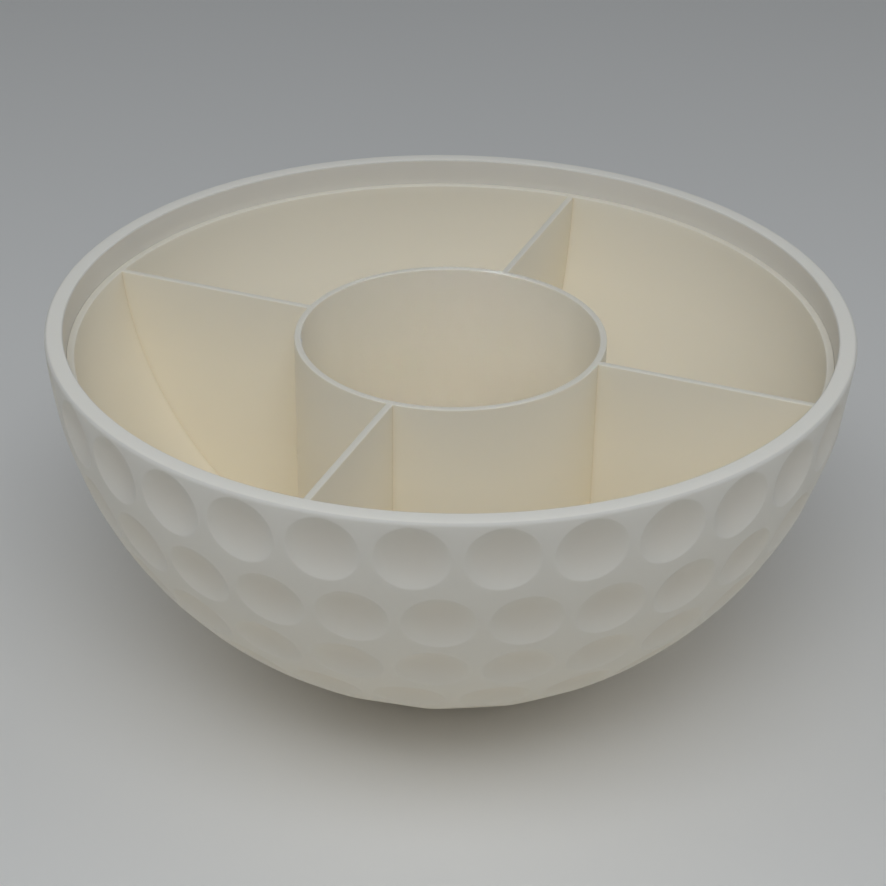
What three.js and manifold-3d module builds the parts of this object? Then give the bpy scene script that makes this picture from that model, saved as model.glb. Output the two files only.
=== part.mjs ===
// Snack bowl: half a dimpled ball, with a lift-out insert that divides it into a
// round centre cup and side compartments.
// Millimetres, +Z up. The origin is the middle of the flat base, and the first
// divider lies along +X.
import * as THREE from 'three';
import { mergeGeometries, mergeVertices } from 'three/addons/utils/BufferGeometryUtils.js';
import Module from 'manifold-3d';

// Bowl: the lower half of a ball, cut level just under its equator and hollowed
const rimRadius = 120;
const rimUnderEquator = 1.5;
const bowlWall = 5.4;
const bowlFloor = 4.5;
const baseRadius = 34;
const rimRound = 1.2;
const rimInnerRound = 0.6;

// Dimples: round hollows in rows, each row shifted half a step from the last
const dimpleRadius = 10.1;
const dimpleDepth = 2.9;
const dimpleLand = 3.4;

// Insert: a thin tray that nests in the bowl, with a centre cup and dividers
const seatClearance = 0.3;
const insertDrop = 8.5;
const trayWall = 2.2;
const trayFloor = 2.2;
const cupRadius = 47;
const cupWall = 2.1;
const dividerCount = 4;
const dividerWall = 2.1;

// Fineness of the facets
const facetsPerDimple = 2;
const ballSteps = 10;
const roundSteps = 3;
const dimpleSides = 10;
const dimpleRings = [0, 0.62, 1];
const widestGap = 0.7;

// What follows from the sizes above
const ballRadius = Math.hypot(rimRadius, rimUnderEquator);
const equatorHeight = Math.sqrt(ballRadius ** 2 - baseRadius ** 2);
const rimHeight = equatorHeight - rimUnderEquator;
const insertTop = rimHeight - insertDrop;
const hollowRadius = ballRadius - bowlWall;
const trayOuterRadius = hollowRadius - seatClearance;
const trayInnerRadius = trayOuterRadius - trayWall;
const trayMidRadius = trayOuterRadius - trayWall / 2;
const trayBottom = bowlFloor + seatClearance;
const fullTurn = 2 * Math.PI;
const equatorCount = Math.round((fullTurn * ballRadius) / (2 * dimpleRadius + dimpleLand));
const dimpleStep = fullTurn / equatorCount;
const turns = facetsPerDimple * equatorCount;

const printWhite = { color: 0xe9e6db, roughness: 0.62, metalness: 0 };

const wasm = await Module();
wasm.setup();

// Surfaces that close on each other as a solid: shared corners are welded, and
// the slivers that a revolved profile leaves on its axis are dropped.
function solidFrom(...surfaces) {
  const bare = surfaces.map((surface) => (surface.index ? surface.toNonIndexed() : surface));
  for (const surface of bare) {
    surface.deleteAttribute('normal');
    surface.deleteAttribute('uv');
  }
  const welded = mergeVertices(mergeGeometries(bare));
  const corners = welded.index.array;
  const faces = [];
  for (let i = 0; i < corners.length; i += 3) {
    const [a, b, c] = corners.slice(i, i + 3);
    if (a !== b && b !== c && c !== a) faces.push(a, b, c);
  }
  const vertProperties = new Float32Array(welded.attributes.position.array);
  const triVerts = new Uint32Array(faces);
  return new wasm.Manifold(new wasm.Mesh({ numProp: 3, vertProperties, triVerts }));
}

function geometryFrom(solid) {
  const { vertProperties, triVerts } = solid.getMesh();
  const geometry = new THREE.BufferGeometry();
  geometry.setAttribute('position', new THREE.BufferAttribute(vertProperties, 3));
  geometry.setIndex(new THREE.BufferAttribute(triVerts, 1));
  geometry.computeVertexNormals();
  return geometry;
}

// A profile in radius and height, listed anticlockwise, turned about Z from +X
function revolve(profile) {
  return new THREE.LatheGeometry(profile, turns, Math.PI / 2).rotateX(Math.PI / 2);
}

// Height at a radius, radius at a height and latitude at a height on the lower
// half of a sphere about the ball's centre
const heightAt = (sphere, radius) => equatorHeight - Math.sqrt(sphere ** 2 - radius ** 2);
const radiusAt = (sphere, height) => Math.sqrt(sphere ** 2 - (height - equatorHeight) ** 2);
const latitudeAt = (sphere, height) => Math.asin((height - equatorHeight) / sphere);

// Points along a sphere's section between two heights, both ends included
function ballArc(sphere, from, to) {
  const start = latitudeAt(sphere, from);
  const end = latitudeAt(sphere, to);
  return Array.from({ length: ballSteps + 1 }, (_, i) => {
    const latitude = start + ((end - start) * i) / ballSteps;
    return new THREE.Vector2(sphere * Math.cos(latitude), equatorHeight + sphere * Math.sin(latitude));
  });
}

// Points of a quarter-round edge about a centre, both ends included
function roundedEdge(x, y, radius, startAngle) {
  return Array.from({ length: roundSteps + 1 }, (_, i) => {
    const angle = startAngle + (i * Math.PI) / 2 / roundSteps;
    return new THREE.Vector2(x + radius * Math.cos(angle), y + radius * Math.sin(angle));
  });
}

// Rows of dimples, one step apart down from the rim to the base, with as many
// in each row as fit round it at the same step
function dimpleRows() {
  const rimLatitude = latitudeAt(ballRadius, rimHeight);
  const rowCount = Math.floor((rimLatitude - latitudeAt(ballRadius, 0)) / dimpleStep);
  return Array.from({ length: rowCount }, (_, row) => {
    const latitude = rimLatitude - (row + 0.5) * dimpleStep;
    const count = Math.round(equatorCount * Math.cos(latitude));
    const firstCorner = row % 2 === 0 ? 0 : -0.5;
    const corners = Array.from({ length: count }, (_, i) => ((firstCorner + i) * fullTurn) / count);
    return { latitude, corners, pitch: fullTurn / count };
  });
}

// Corners in order round a line, with one more in the middle of each wide gap
function evenedOut(corners, pitch) {
  const sorted = [...corners].sort((a, b) => a - b);
  return sorted.flatMap((corner, i) => {
    const next = sorted[i + 1] ?? sorted[0] + fullTurn;
    return next - corner > widestGap * pitch ? [corner, (corner + next) / 2] : [corner];
  });
}

// Azimuths of the corners on the line above each row, under the last row and at
// the base. A line between two rows has the corners of both.
function cornerLines(rows) {
  const even = Array.from({ length: turns }, (_, i) => (i * fullTurn) / turns);
  const below = rows.map((row, i) => {
    const nextCorners = rows[i + 1]?.corners ?? [];
    return evenedOut([...row.corners, ...nextCorners], row.pitch);
  });
  return [even, ...below, even];
}

// The corners of a line from the one nearest the left end of a cell to the one
// nearest its right end. A tie goes to the later corner.
function stretch(line, left, right) {
  const tieBreak = 1e-9;
  const unwound = line.flatMap((azimuth) => [azimuth - fullTurn, azimuth, azimuth + fullTurn]);
  const miss = (azimuth, end) => Math.abs(azimuth - end - tieBreak);
  const nearest = (end) => unwound.reduce((a, b) => (miss(b, end) < miss(a, end) ? b : a));
  const [first, last] = [nearest(left), nearest(right)];
  return unwound.filter((azimuth) => azimuth >= first && azimuth <= last).sort((a, b) => a - b);
}

// Unit vector from the ball's centre
function towards(azimuth, latitude) {
  const level = Math.cos(latitude);
  return new THREE.Vector3(level * Math.cos(azimuth), level * Math.sin(azimuth), Math.sin(latitude));
}

// Radius and distance from the ball's centre of each ring of a dimple, from its
// middle out to its edge on the ball
function dimpleSection() {
  const edge = Math.sqrt(ballRadius ** 2 - dimpleRadius ** 2);
  const bottom = ballRadius - dimpleDepth;
  const capHeight = edge - bottom;
  const capRadius = (dimpleRadius ** 2 + capHeight ** 2) / (2 * capHeight);
  return dimpleRings.map((share) => {
    const radius = share * dimpleRadius;
    return [radius, bottom + capRadius - Math.sqrt(capRadius ** 2 - radius ** 2)];
  });
}

// Faces of the ball inside a border, less a hole, seen square on from outside
function landFaces(border, holes, east, north) {
  const flat = (point) => new THREE.Vector2(point.dot(east), point.dot(north));
  const points = [...border, ...holes.flat()];
  const faces = THREE.ShapeUtils.triangulateShape(border.map(flat), holes.map((hole) => hole.map(flat)));
  return faces.map((face) => face.map((i) => points[i]));
}

// One cell of the outside: a dimple, and the land between it and the cell's border
function dimpleCell(out, east, north, border) {
  const rings = dimpleSection().map(([radius, distance]) =>
    Array.from({ length: dimpleSides }, (_, i) => {
      const angle = (i * fullTurn) / dimpleSides;
      const point = out.clone().multiplyScalar(distance);
      point.addScaledVector(east, radius * Math.cos(angle));
      return point.addScaledVector(north, radius * Math.sin(angle));
    }),
  );
  const faces = landFaces(border, [rings.at(-1)], east, north);
  rings.slice(1).forEach((outer, ring) => {
    const inner = rings[ring];
    outer.forEach((point, i) => {
      const next = (i + 1) % dimpleSides;
      faces.push([inner[i], point, outer[next]], [inner[i], outer[next], inner[next]]);
    });
  });
  return faces;
}

// The bowl's outside from the rim's rounding to the base: a cell for each dimple,
// then a plain band
function dimpledOutside() {
  const rows = dimpleRows();
  const lines = cornerLines(rows);
  const latitudes = lines.map((_, i) => latitudeAt(ballRadius, rimHeight) - i * dimpleStep);
  latitudes[0] = latitudeAt(ballRadius, rimHeight - rimRound);
  latitudes[rows.length + 1] = latitudeAt(ballRadius, 0);
  const onBall = (azimuth, latitude) => towards(azimuth, latitude).multiplyScalar(ballRadius);
  const plainBand = { ...rows.at(-1), plain: true };
  const faces = [...rows, plainBand].flatMap(({ latitude, corners, pitch, plain }, row) =>
    corners.flatMap((left) => {
      const right = left + pitch;
      const middle = (left + right) / 2;
      const out = towards(middle, latitude);
      const east = new THREE.Vector3(-Math.sin(middle), Math.cos(middle), 0);
      const north = out.clone().cross(east);
      const [top, bottom] = [row, row + 1].map((line) =>
        stretch(lines[line], left, right).map((azimuth) => onBall(azimuth, latitudes[line])),
      );
      top.reverse();
      if (plain) return landFaces([...bottom, ...top], [], east, north);
      const border = [...bottom, onBall(right, latitude), ...top, onBall(left, latitude)];
      return dimpleCell(out, east, north, border);
    }),
  );
  return new THREE.BufferGeometry().setFromPoints(faces.flat()).translate(0, 0, equatorHeight);
}

// The bowl: base, dimpled outside, rounded rim, hollow and floor
function dimpledBowl() {
  const shoulder = rimHeight - rimRound;
  const lip = rimHeight - rimInnerRound;
  const rimOuter = radiusAt(ballRadius, shoulder);
  const rimInner = radiusAt(hollowRadius, lip);
  const base = [new THREE.Vector2(0, 0), new THREE.Vector2(baseRadius, 0)];
  const rimAndHollow = [
    ...roundedEdge(rimOuter - rimRound, shoulder, rimRound, 0),
    ...roundedEdge(rimInner + rimInnerRound, lip, rimInnerRound, Math.PI / 2),
    ...ballArc(hollowRadius, bowlFloor, lip).reverse().slice(1),
    new THREE.Vector2(0, bowlFloor),
  ];
  return solidFrom(revolve(base), dimpledOutside(), revolve(rimAndHollow));
}

// The insert's tray: floor, outside, top edge and inside
function trayShell() {
  const profile = [
    new THREE.Vector2(0, trayBottom),
    ...ballArc(trayOuterRadius, trayBottom, insertTop),
    ...ballArc(trayInnerRadius, trayBottom + trayFloor, insertTop).reverse(),
    new THREE.Vector2(0, trayBottom + trayFloor),
  ];
  return solidFrom(revolve(profile));
}

// The centre cup's wall, which ends inside the tray's wall
function cupRing() {
  const inside = cupRadius - cupWall;
  const profile = [
    new THREE.Vector2(inside, heightAt(trayMidRadius, inside)),
    new THREE.Vector2(cupRadius, heightAt(trayMidRadius, cupRadius)),
    new THREE.Vector2(cupRadius, insertTop),
    new THREE.Vector2(inside, insertTop),
  ];
  return solidFrom(revolve([...profile, profile[0]]));
}

// One divider: its outline runs from the cup's wall along the tray to the top
function divider(index) {
  const start = cupRadius - cupWall / 2;
  const outline = [
    new THREE.Vector2(start, insertTop),
    ...ballArc(trayMidRadius, heightAt(trayMidRadius, start), insertTop),
  ];
  const sheet = new THREE.ExtrudeGeometry(new THREE.Shape(outline), {
    depth: dividerWall,
    bevelEnabled: false,
  });
  sheet.translate(0, 0, -dividerWall / 2).rotateX(Math.PI / 2);
  return solidFrom(sheet.rotateZ((index * fullTurn) / dividerCount));
}

function dividerInsert() {
  let insert = trayShell().add(cupRing());
  for (let index = 0; index < dividerCount; index += 1) insert = insert.add(divider(index));
  return insert;
}

function piece(name, solid) {
  const mesh = new THREE.Mesh(geometryFrom(solid), new THREE.MeshStandardMaterial(printWhite));
  mesh.name = name;
  return mesh;
}

const snackBowl = new THREE.Group();
snackBowl.add(piece('dimpled_bowl', dimpledBowl()));
snackBowl.add(piece('divider_insert', dividerInsert()));

export default snackBowl;
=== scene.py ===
import math

import bmesh
import bpy
from mathutils import Matrix, Vector


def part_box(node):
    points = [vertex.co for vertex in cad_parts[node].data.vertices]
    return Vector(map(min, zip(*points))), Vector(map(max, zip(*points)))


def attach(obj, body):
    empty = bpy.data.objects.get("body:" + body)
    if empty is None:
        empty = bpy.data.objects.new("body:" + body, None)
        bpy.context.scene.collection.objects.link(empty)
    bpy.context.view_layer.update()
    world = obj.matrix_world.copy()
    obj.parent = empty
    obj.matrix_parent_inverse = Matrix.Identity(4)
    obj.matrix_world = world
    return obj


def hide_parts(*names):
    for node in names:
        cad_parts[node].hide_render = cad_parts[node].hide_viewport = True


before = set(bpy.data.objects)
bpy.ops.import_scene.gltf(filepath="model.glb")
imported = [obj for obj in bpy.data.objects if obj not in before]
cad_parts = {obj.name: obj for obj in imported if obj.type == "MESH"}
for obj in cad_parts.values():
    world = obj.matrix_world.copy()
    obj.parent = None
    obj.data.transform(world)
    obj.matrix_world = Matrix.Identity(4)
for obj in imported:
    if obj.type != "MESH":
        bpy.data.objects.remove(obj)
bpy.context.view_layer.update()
scene = bpy.context.scene
fullTurn = 2 * math.pi
quarterTurn = math.pi / 2

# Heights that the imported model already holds
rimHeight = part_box("dimpled_bowl")[1].z
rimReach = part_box("dimpled_bowl")[1].x
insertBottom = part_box("divider_insert")[0].z
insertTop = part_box("divider_insert")[1].z
ballRise = 0.0015  # the ball's middle stands this far above the rim
ballMiddle = rimHeight + ballRise
print("frame loaded: rim at", round(rimHeight, 4), "m, dividers at", round(insertTop, 4), "m")


# Node helpers: a value is either a socket to link or a plain default
def feed(tree, value, socket):
    if isinstance(value, bpy.types.NodeSocket):
        tree.links.new(value, socket)
    else:
        socket.default_value = value


def addNode(tree, kind, inputs=(), **settings):
    node = tree.nodes.new(kind)
    for name, setting in settings.items():
        setattr(node, name, setting)
    for name, value in dict(inputs).items():
        feed(tree, value, node.inputs[name])
    return node


def calc(tree, operation, *values):
    return addNode(tree, "ShaderNodeMath", enumerate(values), operation=operation).outputs[0]


def combine(tree, x, y, z):
    return addNode(tree, "ShaderNodeCombineXYZ", {"X": x, "Y": y, "Z": z}).outputs[0]


def mixColours(tree, factor, first, second, blend="MIX"):
    node = addNode(tree, "ShaderNodeMix", data_type="RGBA", blend_type=blend)
    values = {"Factor": factor, "A": first, "B": second}
    for socket in node.inputs:
        if socket.enabled and socket.name in values:
            feed(tree, values[socket.name], socket)
    return next(socket for socket in node.outputs if socket.enabled)


def newTree(name, kind, inputs, outputs):
    tree = bpy.data.node_groups.new(name, kind)
    for label, socketKind in inputs:
        tree.interface.new_socket(label, in_out="INPUT", socket_type="NodeSocket" + socketKind)
    for label, socketKind in outputs:
        tree.interface.new_socket(label, in_out="OUTPUT", socket_type="NodeSocket" + socketKind)
    return tree, tree.nodes.new("NodeGroupInput").outputs, tree.nodes.new("NodeGroupOutput").inputs


# Every geometry tree ends as plain mesh with one material
def closeTree(tree, geometry, material, end):
    plain = addNode(tree, "GeometryNodeRealizeInstances", {"Geometry": geometry}).outputs[0]
    paint = {"Geometry": plain, "Material": material}
    feed(tree, addNode(tree, "GeometryNodeSetMaterial", paint).outputs[0], end["Geometry"])


def objectShape(tree, thing):
    return addNode(tree, "GeometryNodeObjectInfo", {"Object": thing}).outputs["Geometry"]


def addObject(name, mesh):
    thing = bpy.data.objects.new(name, mesh)
    scene.collection.objects.link(thing)
    return thing


def dropObjects(*things):
    for thing in things:
        mesh = thing.data
        bpy.data.objects.remove(thing)
        bpy.data.meshes.remove(mesh)


# Run a tree on an object and give the result back as a new object with a plain mesh
def runTree(host, tree, values, name, sharpDegrees):
    modifier = host.modifiers.new(tree.name, "NODES")
    modifier.node_group = tree
    for item in tree.interface.items_tree:
        if item.in_out == "INPUT" and item.name in values:
            modifier[item.identifier] = values[item.name]
    host.update_tag()
    evaluated = host.evaluated_get(bpy.context.evaluated_depsgraph_get())
    mesh = bpy.data.meshes.new_from_object(evaluated)
    host.modifiers.remove(modifier)
    mesh.name = name
    mesh.shade_smooth()
    mesh.set_sharp_from_angle(angle=math.radians(sharpDegrees))
    return addObject(name, mesh)


# Profiles are lists of (radius, height), run anticlockwise so that faces point outwards
def arc(x, z, radius, first, last, steps):
    angles = [first + (last - first) * i / steps for i in range(steps + 1)]
    return [(x + radius * math.cos(a), z + radius * math.sin(a)) for a in angles]


# An arc of a ball round the bowl's own middle, between two heights
def ballArc(radius, fromHeight, toHeight, steps):
    first = math.asin((fromHeight - ballMiddle) / radius)
    last = math.asin((toHeight - ballMiddle) / radius)
    return arc(0, ballMiddle, radius, first, last, steps)


# A ball-shaped shell with a flat base, a flat floor and a flat top with two rounded edges
def shellProfile(radii, levels, top, rounds, sizes):
    steps = sizes["roundSteps"]
    edges = []
    for radius, edge, side in zip(radii, rounds, (-1, 1)):
        drop = top - edge - ballMiddle
        out = math.sqrt((radius + side * edge) ** 2 - drop**2)
        tangent = math.atan2(drop, out)
        angles = (tangent, quarterTurn) if side < 0 else (quarterTurn, math.pi + tangent)
        edges.append(arc(out, top - edge, edge, *angles, steps))
    outside = ballArc(radii[0], levels[0], edges[0][0][1], sizes["outsideSteps"])
    hollow = ballArc(radii[1], edges[1][-1][1], levels[1], sizes["hollowSteps"])
    shares = [i / sizes["floorSteps"] for i in range(sizes["floorSteps"])]
    base = [(outside[0][0] * share, levels[0]) for share in shares]
    inside = [(hollow[-1][0] * share, levels[1]) for share in reversed(shares)]
    return base + outside + edges[0][1:] + edges[1] + hollow[1:] + inside


def revolve(name, profile, turns, closed=False):
    build = bmesh.new()
    angles = [fullTurn * i / turns for i in range(turns)]
    rings = []
    for radius, height in profile:
        around = angles if radius > 0 else angles[:1]
        spots = [(radius * math.cos(a), radius * math.sin(a), height) for a in around]
        rings.append([build.verts.new(spot) for spot in spots])
    above = rings[1:] + rings[:1] if closed else rings[1:]
    for lower, upper in zip(rings, above):
        for i in range(turns):
            sides = ((lower, i), (lower, i + 1), (upper, i + 1), (upper, i))
            corners = [ring[k % len(ring)] for ring, k in sides]
            build.faces.new(dict.fromkeys(corners))  # a pole gives a triangle
    mesh = bpy.data.meshes.new(name)
    build.to_mesh(mesh)
    build.free()
    return addObject(name, mesh)


# Printed plastic: layer lines, faint mottling and a few specks, with painted light and shade on
# level tops, near wall tops, in dimple hollows and in creases
printFinish = {
    "layerHeight": 0.0002,
    "layerWander": 0.00008,
    "wanderScale": 40,
    "wanderDetail": 2,
    "layerBump": 0.5,
    "mottleScale": 22,
    "mottleDetail": 4,
    "speckScale": 700,
    "speckDetail": 0,
    "speckLevel": 0.73,
    "speckHeight": 9,
    # Where the painted light and shade of the level tops and the wall tops begin
    "topBand": 0.002,
    "topStarts": 0.8,
    "topFull": 0.97,
    # Reach and strength of the painted shade in creases
    "creaseReach": 0.0015,
    "creaseGain": 0.9,
    "creaseSamples": 3,
}
printAndPaintedLightColours = (
    "Clean Colour",
    "Mottled Colour",
    "Painted Top Shade Tint",
    "Painted Top Light",
    "Painted Hollow Shade",
    "Painted Crease Shade",
)
printValues = ("Smoothest", "Roughest", "Tops Above", "Painted Shade Depth")


def makePrintGroup():
    finish = printFinish
    tree, start, end = newTree(
        "printedLayers",
        "ShaderNodeTree",
        [(label, "Color") for label in printAndPaintedLightColours] + [(label, "Float") for label in printValues],
        (("Colour", "Color"), ("Roughness", "Float"), ("Height", "Float")),
    )
    spot = addNode(tree, "ShaderNodeTexCoord").outputs["Object"]

    def noise(scale, detail):
        inputs = {"Vector": spot, "Scale": scale, "Detail": detail}
        return addNode(tree, "ShaderNodeTexNoise", inputs).outputs["Fac"]

    # Layers: a rounded wave up the piece that wanders a little
    height = addNode(tree, "ShaderNodeSeparateXYZ", {"Vector": spot}).outputs["Z"]
    wander = noise(finish["wanderScale"], finish["wanderDetail"])
    rise = calc(tree, "MULTIPLY_ADD", wander, finish["layerWander"], height)
    wave = calc(tree, "SINE", calc(tree, "MULTIPLY", rise, fullTurn / finish["layerHeight"]))
    # Specks: only the tops of a fine noise
    grain = noise(finish["speckScale"], finish["speckDetail"])
    speck = calc(tree, "MAXIMUM", calc(tree, "SUBTRACT", grain, finish["speckLevel"]), 0)
    speck = calc(tree, "MULTIPLY", speck, finish["speckHeight"])
    feed(tree, calc(tree, "MULTIPLY_ADD", wave, finish["layerBump"], speck), end["Height"])
    # Mottling mixes the two colours and the gloss
    mottle = noise(finish["mottleScale"], finish["mottleDetail"])
    colour = mixColours(tree, mottle, start["Clean Colour"], start["Mottled Colour"])
    spread = calc(tree, "SUBTRACT", start["Roughest"], start["Smoothest"])
    feed(tree, calc(tree, "MULTIPLY_ADD", mottle, spread, start["Smoothest"]), end["Roughness"])
    # Painted light and shade: walls are tinted darker and cooler near their tops and paler and
    # warmer further down, standing in for the warm light that bounces lower down
    tops = start["Tops Above"]
    fadeEnd = calc(tree, "SUBTRACT", tops, start["Painted Shade Depth"])
    span = {"Value": height, "From Min": fadeEnd, "From Max": tops}
    paintedTopShade = addNode(tree, "ShaderNodeMapRange", span).outputs["Result"]
    colour = mixColours(tree, paintedTopShade, colour, start["Painted Top Shade Tint"], "MULTIPLY")
    # Painted light and shade: level faces on top get their own colour, standing in for how the
    # light from above falls on them
    facing = addNode(tree, "ShaderNodeNewGeometry").outputs["Normal"]
    level = addNode(tree, "ShaderNodeSeparateXYZ", {"Vector": facing}).outputs["Z"]
    span = {"Value": level, "From Min": finish["topStarts"], "From Max": finish["topFull"]}
    top = addNode(tree, "ShaderNodeMapRange", span).outputs["Result"]
    top = calc(tree, "MULTIPLY", top, calc(tree, "GREATER_THAN", height, tops))
    colour = mixColours(tree, top, colour, start["Painted Top Light"])
    # Painted shade: the dimple hollows darken with the depth that comes with the mesh, and creases
    # darken where walls stand close
    hollow = addNode(tree, "ShaderNodeAttribute", attribute_name="hollow").outputs["Fac"]
    colour = mixColours(tree, hollow, colour, start["Painted Hollow Shade"], "MULTIPLY")
    near = addNode(tree, "ShaderNodeAmbientOcclusion", {"Distance": finish["creaseReach"]})
    near.samples = finish["creaseSamples"]
    near.only_local = True
    # Painted shade: a darker, warmer colour in tight creases, from ambient occlusion
    crease = calc(tree, "SUBTRACT", 1, near.outputs["AO"])
    crease = calc(tree, "MINIMUM", calc(tree, "MULTIPLY", crease, finish["creaseGain"]), 1)
    feed(tree, mixColours(tree, crease, colour, start["Painted Crease Shade"]), end["Colour"])
    return tree


printGroup = makePrintGroup()


def makePrintMaterial(name, look):
    material = bpy.data.materials.new(name)
    material.use_nodes = True
    tree = material.node_tree
    tree.nodes.clear()
    layers = addNode(tree, "ShaderNodeGroup", node_tree=printGroup)
    for label in printAndPaintedLightColours + printValues:
        feed(tree, look[label], layers.inputs[label])
    bump = addNode(tree, "ShaderNodeBump", {"Height": layers.outputs["Height"]})
    bump.inputs["Strength"].default_value = look["bumpStrength"]
    bump.inputs["Distance"].default_value = look["bumpDistance"]
    plastic = addNode(tree, "ShaderNodeBsdfPrincipled")
    plastic.inputs["IOR"].default_value = look["ior"]
    plastic.inputs["Specular IOR Level"].default_value = look["specular"]
    plastic.inputs["Subsurface Weight"].default_value = look["subsurface"]
    plastic.inputs["Subsurface Radius"].default_value = look["scatterRadius"]
    plastic.inputs["Subsurface Scale"].default_value = look["scatterScale"]
    feed(tree, layers.outputs["Colour"], plastic.inputs["Base Color"])
    feed(tree, layers.outputs["Roughness"], plastic.inputs["Roughness"])
    feed(tree, bump.outputs["Normal"], plastic.inputs["Normal"])
    addNode(tree, "ShaderNodeOutputMaterial", {"Surface": plastic.outputs["BSDF"]})
    return material


# The outer bowl: half a ball with a flat base, a soft rim and rows of pressed dimples
bowl = {
    "wall": 0.0054,
    "floor": 0.0045,
    "rimRound": 0.0012,
    "lipRound": 0.0006,
    "Dimples Round": 32,
    "Dimple Rows": 6,
    "dimpleRadius": 0.0101,
    "dimpleDepth": 0.0029,
    "edgeRound": 0.0014,
    "edgeMeets": math.radians(6),
    "edgeRun": 0.0006,
    "pressAbove": 0.001,
    # Where the painted shade of the dimple hollows stops
    "hollowUnderRim": 0.0013,
    "hollowMost": 1.2,
    "turns": 256,
    "outsideSteps": 64,
    "hollowSteps": 24,
    "floorSteps": 3,
    "roundSteps": 4,
    "dimpleSides": 40,
    "dishSteps": 6,
    "edgeSteps": 3,
    "sharpDegrees": 35,
}
bowlLook = {
    "Clean Colour": (0.89, 0.828, 0.7, 1),
    "Mottled Colour": (0.88, 0.814, 0.68, 1),
    # Painted shade: a darker, cooler tint near the tops of the walls
    "Painted Top Shade Tint": (0.9, 0.907, 0.93, 1),
    # Painted light: the rim's level top is drawn paler than the walls
    "Painted Top Light": (0.968, 0.898, 0.76, 1),
    # Painted shade: dimple hollows darker and warmer with depth
    "Painted Hollow Shade": (0.988, 0.97, 0.952, 1),
    # Painted shade: a darker, warmer colour in tight creases
    "Painted Crease Shade": (0.8, 0.71, 0.55, 1),
    "Smoothest": 0.50,
    "Roughest": 0.60,
    "Tops Above": rimHeight - printFinish["topBand"],
    # How far below the tops the painted shade fades out
    "Painted Shade Depth": 0.08,
    "bumpStrength": 0.25,
    "bumpDistance": 0.00003,
    "ior": 1.46,
    "specular": 0.4,
    "subsurface": 0.05,
    "scatterRadius": (1.0, 0.8, 0.55),
    "scatterScale": 0.002,
}
ballRadius = bowl["rimRound"] + math.hypot(rimReach - bowl["rimRound"], bowl["rimRound"] + ballRise)
hollowRadius = ballRadius - bowl["wall"]


# The press for one dimple stands on the Z axis: a shallow dish with a rounded shoulder
def makeDimplePress():
    out = bowl["dimpleRadius"]
    bottom = ballRadius - bowl["dimpleDepth"]
    rise = math.sqrt(ballRadius**2 - out**2) - bottom
    dishRadius = (out**2 + rise**2) / (2 * rise)
    dishSlope = math.asin(out / dishRadius)
    ballSlope = -math.asin(out / ballRadius)
    # The shoulder rolls over from the dish and crosses the ball at a slight angle
    shoulder = bowl["edgeRound"]
    start = dishSlope - shoulder * math.tan((dishSlope - ballSlope) / 2) / dishRadius
    leave = ballSlope + bowl["edgeMeets"]
    angles = (-quarterTurn, start - quarterTurn)
    profile = arc(0, bottom + dishRadius, dishRadius, *angles, bowl["dishSteps"])
    x = profile[-1][0] + shoulder * math.sin(start)
    z = profile[-1][1] - shoulder * math.cos(start)
    profile[0] = (0, bottom)
    angles = (start + quarterTurn, leave + quarterTurn)
    profile += arc(x, z, shoulder, *angles, bowl["edgeSteps"])[1:]
    x, z = profile[-1]
    reach = x + bowl["edgeRun"] * math.cos(leave)
    top = ballRadius + bowl["pressAbove"]
    profile += [(reach, z + bowl["edgeRun"] * math.sin(leave)), (reach, top), (0, top)]
    return revolve("dimplePress", profile, bowl["dimpleSides"])


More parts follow.
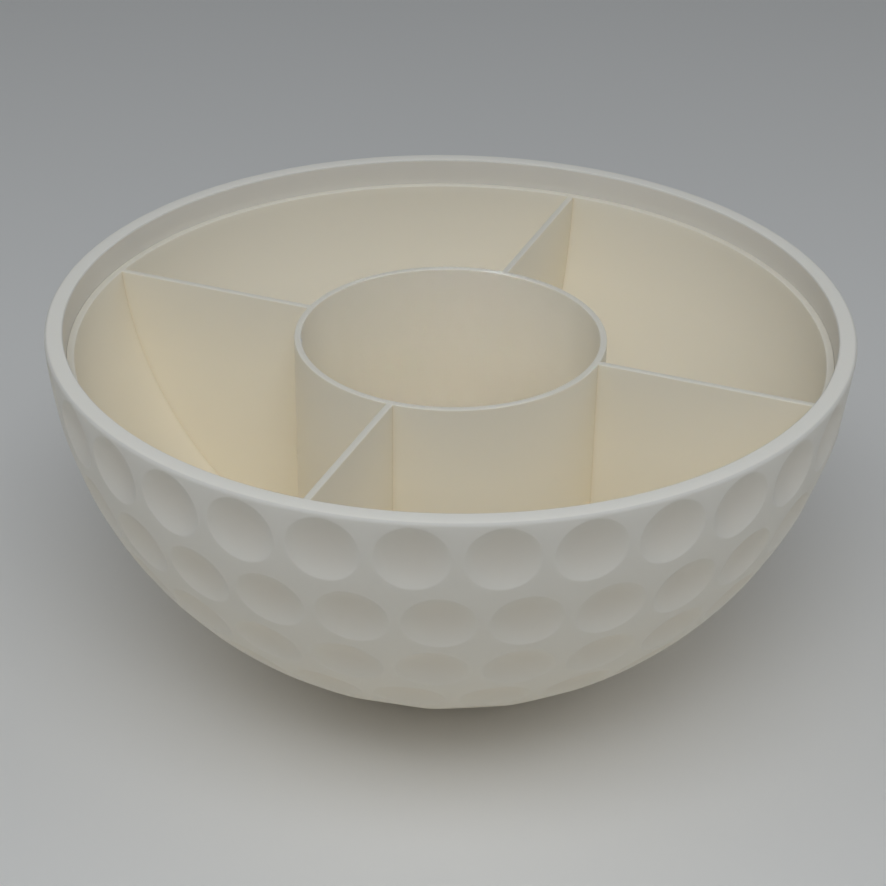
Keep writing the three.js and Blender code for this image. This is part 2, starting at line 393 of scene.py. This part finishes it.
# Rows one step apart down from the rim, each with as many dimples as fit it
def makeDimpleTree():
    tree, start, end = newTree(
        "pressDimples",
        "GeometryNodeTree",
        (
            ("Geometry", "Geometry"),
            ("Press", "Object"),
            ("Ball Middle", "Float"),
            ("Ball Radius", "Float"),
            ("Rim Dip", "Float"),
            ("Dimple Depth", "Float"),
            ("Dimples Under", "Float"),
            ("Dimples Round", "Int"),
            ("Dimple Rows", "Int"),
            ("Material", "Material"),
        ),
        (("Geometry", "Geometry"),),
    )
    most = start["Dimples Round"]
    index = addNode(tree, "GeometryNodeInputIndex").outputs[0]
    row = calc(tree, "FLOOR", calc(tree, "DIVIDE", index, most))
    place = calc(tree, "MODULO", index, most)
    step = calc(tree, "DIVIDE", fullTurn, most)
    half = 0.5  # the first row lies half a step down, and every other row is half a pitch on
    down = calc(tree, "MULTIPLY_ADD", calc(tree, "ADD", row, half), step, start["Rim Dip"])
    level = calc(tree, "COSINE", down)
    count = calc(tree, "ROUND", calc(tree, "MULTIPLY", most, level))
    shift = calc(tree, "MULTIPLY_ADD", calc(tree, "MODULO", row, 2), -half, half)
    pitch = calc(tree, "DIVIDE", fullTurn, count)
    around = calc(tree, "MULTIPLY", calc(tree, "ADD", place, shift), pitch)
    outX = calc(tree, "MULTIPLY", level, calc(tree, "COSINE", around))
    outY = calc(tree, "MULTIPLY", level, calc(tree, "SINE", around))
    outZ = calc(tree, "MULTIPLY", calc(tree, "SINE", down), -1)
    outwards = combine(tree, outX, outY, outZ)
    turned = addNode(tree, "FunctionNodeAlignRotationToVector", {"Vector": outwards}, axis="Z")
    places = calc(tree, "MULTIPLY", most, start["Dimple Rows"])
    middle = combine(tree, 0, 0, start["Ball Middle"])
    points = addNode(tree, "GeometryNodePoints", {"Count": places, "Position": middle})
    presses = {
        "Points": points.outputs[0],
        "Selection": calc(tree, "LESS_THAN", place, calc(tree, "SUBTRACT", count, half)),
        "Instance": objectShape(tree, start["Press"]),
        "Rotation": turned.outputs[0],
    }
    placed = addNode(tree, "GeometryNodeInstanceOnPoints", presses).outputs[0]
    plain = addNode(tree, "GeometryNodeRealizeInstances", {"Geometry": placed}).outputs[0]
    cut = addNode(tree, "GeometryNodeMeshBoolean", operation="DIFFERENCE", solver="MANIFOLD")
    feed(tree, start["Geometry"], cut.inputs["Mesh 1"])
    feed(tree, plain, cut.inputs["Mesh 2"])
    # How deep each point lies under the ball, away from the rim and the inside, for the painted
    # shade in the dimples
    spot = addNode(tree, "GeometryNodeInputPosition").outputs[0]
    away = addNode(tree, "ShaderNodeVectorMath", enumerate((spot, middle)), operation="DISTANCE")
    depth = calc(tree, "SUBTRACT", start["Ball Radius"], away.outputs["Value"])
    share = calc(tree, "DIVIDE", depth, start["Dimple Depth"])
    height = addNode(tree, "ShaderNodeSeparateXYZ", {"Vector": spot}).outputs["Z"]
    outside = calc(tree, "LESS_THAN", share, bowl["hollowMost"])
    underRim = calc(tree, "LESS_THAN", height, start["Dimples Under"])
    hollow = calc(tree, "MULTIPLY", share, calc(tree, "MULTIPLY", outside, underRim))
    mark = {"Geometry": cut.outputs["Mesh"], "Name": "hollow", "Value": hollow}
    marked = addNode(tree, "GeometryNodeStoreNamedAttribute", mark, data_type="FLOAT")
    closeTree(tree, marked.outputs[0], start["Material"], end)
    return tree


def makeBowl():
    radii = (ballRadius, hollowRadius)
    rounds = (bowl["rimRound"], bowl["lipRound"])
    profile = shellProfile(radii, (0, bowl["floor"]), rimHeight, rounds, bowl)
    blank = revolve("bowlBlank", profile, bowl["turns"])
    press = makeDimplePress()
    values = {
        "Press": press,
        "Ball Middle": ballMiddle,
        "Ball Radius": ballRadius,
        "Rim Dip": math.asin(ballRise / ballRadius),
        "Dimple Depth": bowl["dimpleDepth"],
        "Dimples Under": rimHeight - bowl["hollowUnderRim"],
        "Dimples Round": bowl["Dimples Round"],
        "Dimple Rows": bowl["Dimple Rows"],
        "Material": makePrintMaterial("bowlPrint", bowlLook),
    }
    shell = runTree(blank, makeDimpleTree(), values, "dimpledBowl", bowl["sharpDegrees"])
    dropObjects(blank, press)
    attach(shell, "bowl")
    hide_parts("dimpled_bowl")
    return shell


shell = makeBowl()
print("bowl:", len(shell.data.polygons), "faces")

# The lift-out insert: a thin tray that follows the hollow, with a round cup and radial dividers
insert = {
    "clearance": 0.00012,
    "trayWall": 0.0022,
    "trayFloor": 0.0022,
    "cupRadius": 0.047,
    "cupWall": 0.0021,
    "Divider Count": 4,
    "dividerWall": 0.0021,
    "edgeRound": 0.0004,
    "outerRound": 0.0001,
    "dividerDrop": 0.00002,
    "dividerEnd": 0.002,
    "dividerSteps": 16,
    "turns": 256,
    "outsideSteps": 24,
    "hollowSteps": 48,
    "floorSteps": 3,
    "roundSteps": 4,
    "sharpDegrees": 35,
}
insertLook = bowlLook | {
    "Clean Colour": (0.995, 0.908, 0.73, 1),
    "Mottled Colour": (0.99, 0.898, 0.715, 1),
    # Painted shade: a darker, cooler tint near the tops of the walls
    "Painted Top Shade Tint": (0.925, 0.93, 0.935, 1),
    # Painted shade: the level top edges are drawn darker than the walls
    "Painted Top Light": (0.88, 0.806, 0.655, 1),
    # Painted shade: a darker, warmer colour in tight creases
    "Painted Crease Shade": (0.88, 0.77, 0.57, 1),
    "Tops Above": insertTop - printFinish["topBand"],
    # How far below the tops the painted shade fades out
    "Painted Shade Depth": 0.024,
}
trayOuter = hollowRadius - insert["clearance"]
trayInner = trayOuter - insert["trayWall"]
trayMiddle = (trayOuter + trayInner) / 2
cupMiddle = insert["cupRadius"] - insert["cupWall"] / 2


def heightOnBall(radius, out):
    return ballMiddle - math.sqrt(radius**2 - out**2)


def makeCup():
    edge = insert["edgeRound"]
    steps = insert["roundSteps"]
    outer = insert["cupRadius"]
    inner = outer - insert["cupWall"]
    foot = heightOnBall(trayMiddle, cupMiddle)
    profile = [(inner, foot), (outer, foot)]
    profile += arc(outer - edge, insertTop - edge, edge, 0, quarterTurn, steps)
    profile += arc(inner + edge, insertTop - edge, edge, quarterTurn, math.pi, steps)
    return revolve("cupRing", profile, insert["turns"], closed=True)


# One divider along +X: the same rounded section at every step, with its foot inside the tray's wall
def makeDivider():
    edge = insert["edgeRound"]
    half = insert["dividerWall"] / 2
    top = insertTop - insert["dividerDrop"]
    steps = insert["dividerSteps"]
    crown = arc(half - edge, top - edge, edge, 0, quarterTurn, insert["roundSteps"])
    crown += [(-y, z) for y, z in reversed(crown)]
    first = math.acos(cupMiddle / trayMiddle)
    last = math.asin((ballMiddle - top + insert["dividerEnd"]) / trayMiddle)
    build = bmesh.new()
    sections = []
    for i in range(steps + 1):
        down = first + (last - first) * i / steps
        out = trayMiddle * math.cos(down)
        foot = ballMiddle - trayMiddle * math.sin(down)
        section = [(-half, foot), (half, foot)] + crown
        sections.append([build.verts.new((out, y, z)) for y, z in section])
    for near, far in zip(sections, sections[1:]):
        for k in range(len(near)):
            build.faces.new((near[k - 1], far[k - 1], far[k], near[k]))
    build.faces.new(sections[-1])
    build.faces.new(reversed(sections[0]))
    bmesh.ops.recalc_face_normals(build, faces=build.faces)
    mesh = bpy.data.meshes.new("divider")
    build.to_mesh(mesh)
    build.free()
    return addObject("divider", mesh)


def makeInsertTree():
    tree, start, end = newTree(
        "joinDividers",
        "GeometryNodeTree",
        (
            ("Geometry", "Geometry"),
            ("Cup", "Object"),
            ("Divider", "Object"),
            ("Divider Count", "Int"),
            ("Material", "Material"),
        ),
        (("Geometry", "Geometry"),),
    )
    index = addNode(tree, "GeometryNodeInputIndex").outputs[0]
    pitch = calc(tree, "DIVIDE", fullTurn, start["Divider Count"])
    spokes = {
        "Points": addNode(tree, "GeometryNodePoints", {"Count": start["Divider Count"]}).outputs[0],
        "Instance": objectShape(tree, start["Divider"]),
        "Rotation": combine(tree, 0, 0, calc(tree, "MULTIPLY", index, pitch)),
    }
    placed = addNode(tree, "GeometryNodeInstanceOnPoints", spokes).outputs[0]
    plain = addNode(tree, "GeometryNodeRealizeInstances", {"Geometry": placed}).outputs[0]
    joined = addNode(tree, "GeometryNodeMeshBoolean", operation="UNION", solver="MANIFOLD")
    for part in (start["Geometry"], objectShape(tree, start["Cup"]), plain):
        feed(tree, part, joined.inputs["Mesh 2"])
    closeTree(tree, joined.outputs["Mesh"], start["Material"], end)
    return tree


def makeInsert():
    radii = (trayOuter, trayInner)
    levels = (insertBottom, insertBottom + insert["trayFloor"])
    rounds = (insert["outerRound"], insert["edgeRound"])
    profile = shellProfile(radii, levels, insertTop, rounds, insert)
    tray = revolve("tray", profile, insert["turns"])
    cup = makeCup()
    divider = makeDivider()
    values = {
        "Cup": cup,
        "Divider": divider,
        "Divider Count": insert["Divider Count"],
        "Material": makePrintMaterial("insertPrint", insertLook),
    }
    piece = runTree(tray, makeInsertTree(), values, "dividerInsert", insert["sharpDegrees"])
    dropObjects(tray, cup, divider)
    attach(piece, "insert")
    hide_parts("divider_insert")
    return piece


dividerInsert = makeInsert()
print("insert:", len(dividerInsert.data.polygons), "faces")

# Floor: plain pale paper
floor = {
    "reach": 2.5,
    "below": 0.0002,
    "sides": 64,
    "paleColour": (0.866, 0.827, 0.75, 1),
    "deepColour": (0.856, 0.817, 0.74, 1),
    "mottleScale": 6,
    "grainScale": 900,
    "bumpStrength": 0.05,
    "bumpDistance": 0.0002,
    "roughness": 0.75,
}


def makeFloorMaterial():
    material = bpy.data.materials.new("paleFloor")
    material.use_nodes = True
    tree = material.node_tree
    tree.nodes.clear()
    spot = addNode(tree, "ShaderNodeTexCoord").outputs["Object"]
    mottle = addNode(tree, "ShaderNodeTexNoise", {"Vector": spot, "Scale": floor["mottleScale"]})
    grain = addNode(tree, "ShaderNodeTexNoise", {"Vector": spot, "Scale": floor["grainScale"]})
    colour = mixColours(tree, mottle.outputs["Fac"], floor["paleColour"], floor["deepColour"])
    bump = addNode(tree, "ShaderNodeBump", {"Height": grain.outputs["Fac"]})
    bump.inputs["Strength"].default_value = floor["bumpStrength"]
    bump.inputs["Distance"].default_value = floor["bumpDistance"]
    paper = addNode(tree, "ShaderNodeBsdfPrincipled")
    paper.inputs["Roughness"].default_value = floor["roughness"]
    feed(tree, colour, paper.inputs["Base Color"])
    feed(tree, bump.outputs["Normal"], paper.inputs["Normal"])
    addNode(tree, "ShaderNodeOutputMaterial", {"Surface": paper.outputs["BSDF"]})
    return material


def makeFloor():
    ring = [(floor["reach"], -floor["below"]), (0, -floor["below"])]
    plane = revolve("paleFloor", ring, floor["sides"])
    plane.data.materials.append(makeFloorMaterial())


makeFloor()

# Soft studio light: places are seen from the photograph's side, with the rim's middle as origin
viewTurn = math.radians(21.39)
rimMiddle = Vector((0, 0, rimHeight))
studio = {
    "lightColour": (0.91, 0.985, 1.105),
    "worldStrength": 0.15,
    "spread": 180,
    "aim": (0, 0, 0),
    "lamps": (
        {"name": "topSoftbox", "place": (0, -0.45, 0.8), "size": 0.6, "power": 2.22},
        {"name": "topLeftSoftbox", "place": (-0.6, -0.3, 0.9), "size": 0.6, "power": 0.69},
        {"name": "topRightSoftbox", "place": (0.6, -0.3, 0.9), "size": 0.6, "power": 0.36},
        {"name": "frontSoftbox", "place": (0, -0.9, 0.8), "size": 0.8, "power": 1.72},
        {"name": "leftSoftbox", "place": (-1.5, 0, 0.7), "size": 1.2, "power": 1.9},
        {"name": "rightSoftbox", "place": (1.5, 0, 0.7), "size": 1.2, "power": 2.6},
        {
            "name": "cupSoftbox",  # a small lamp whose grid keeps its beam on the cup
            "place": (0, -0.25, 0.9),
            "size": 0.06,
            "power": 0.0025,
            "spread": 5,
            "aim": (0, 0.01, 0),
        },
    ),
}


def fromView(place):
    return rimMiddle + Matrix.Rotation(viewTurn, 3, "Z") @ Vector(place)


def makeLights():
    world = bpy.data.worlds.new("softRoom")
    world.use_nodes = True
    sky = next(node for node in world.node_tree.nodes if node.type == "BACKGROUND")
    sky.inputs["Color"].default_value = (*studio["lightColour"], 1)
    sky.inputs["Strength"].default_value = studio["worldStrength"]
    scene.world = world
    for lamp in studio["lamps"]:
        light = bpy.data.lights.new(lamp["name"], "AREA")
        light.shape = "DISK"
        light.size = lamp["size"]
        light.energy = lamp["power"]
        light.color = studio["lightColour"]
        light.spread = math.radians(lamp.get("spread", studio["spread"]))
        holder = bpy.data.objects.new(lamp["name"], light)
        holder.location = fromView(lamp["place"])
        aim = fromView(lamp.get("aim", studio["aim"]))
        holder.rotation_euler = (aim - holder.location).to_track_quat("-Z", "Y").to_euler()
        scene.collection.objects.link(holder)


makeLights()
print("floor and", len(studio["lamps"]), "soft lights")

# Camera at the photograph's angle
photoView = {
    "place": (-0.00183, -0.56065, 0.28049),
    "pitchDown": math.radians(30.26),
    "roll": math.radians(0.83),
    "lens": 85.08,
    "sensor": 36,
    "clipStart": 0.01,
    "clipEnd": 20,
}


def makeCamera():
    camera = bpy.data.cameras.new("photoCamera")
    camera.sensor_width = photoView["sensor"]
    camera.lens = photoView["lens"]
    camera.clip_start = photoView["clipStart"]
    camera.clip_end = photoView["clipEnd"]
    holder = bpy.data.objects.new("photoCamera", camera)
    turn = Matrix.Rotation(viewTurn, 4, "Z")
    tilt = Matrix.Rotation(quarterTurn - photoView["pitchDown"], 4, "X")
    roll = Matrix.Rotation(photoView["roll"], 4, "Z")
    holder.matrix_world = Matrix.Translation(fromView(photoView["place"])) @ turn @ tilt @ roll
    scene.collection.objects.link(holder)
    scene.camera = holder


makeCamera()
scene.view_settings.view_transform = "Standard"
print("camera and colours set")
